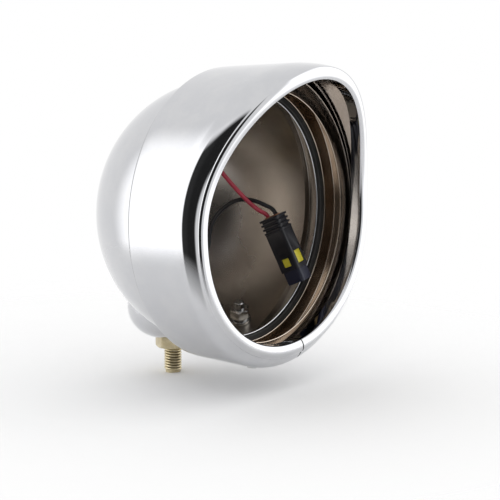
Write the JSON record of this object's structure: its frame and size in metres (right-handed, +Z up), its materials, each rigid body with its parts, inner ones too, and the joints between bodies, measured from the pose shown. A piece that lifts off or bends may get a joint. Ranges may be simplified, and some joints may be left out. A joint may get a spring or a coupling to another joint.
{
  "type": "round motorcycle headlight housing",
  "caption": "Chromed round headlight housing with a peaked trim ring, a single-bolt bottom mount and a hanging lamp connector.",
  "frame": {"origin": "on the mounting bolt's axis, at the underside of its nut", "axes": "+Z up along the mounting bolt towards the housing, -Y forward along the beam, +X to the housing's left side, which is the right as seen from its front"},
  "size_m": [0.159, 0.1318, 0.1728],
  "materials": {
    "chrome": "polished chrome plate on sheet steel",
    "steel": "plated sheet steel, satin",
    "zinc": "pale yellow zinc plate",
    "rubber": "black moulded rubber",
    "red_insulation": "soft satin insulation",
    "black_insulation": "soft satin insulation",
    "black_plastic": "moulded, satin",
    "seal_rubber": "moulded silicone",
    "yellow_plastic": "moulded, gloss",
    "navy_plastic": "moulded, satin",
    "terminal_metal": "tinned brass"
  },
  "bodies": {
    "root": {"bucket": "chrome", "visor_ring": "chrome", "lamp_channel": "steel", "mouth_seal": "rubber", "ring_screw": "zinc", "ring_nut": "zinc", "saddle": "chrome", "inner_saddle": "steel", "mount_bolt": "zinc", "mount_washer": "zinc", "mount_nut": "zinc", "side_screw": "zinc", "side_washer": "zinc", "side_spring_washer": "zinc", "side_nut": "zinc", "grommet": "rubber", "red_wire": "red_insulation", "black_wire": "black_insulation", "connector_cap": "black_plastic", "wire_seals": "seal_rubber", "connector_body": "black_plastic", "connector_lock": "yellow_plastic", "connector_nose": "navy_plastic", "terminals": "terminal_metal", "connector_latch": "black_plastic"}
  },
  "joints": []
}
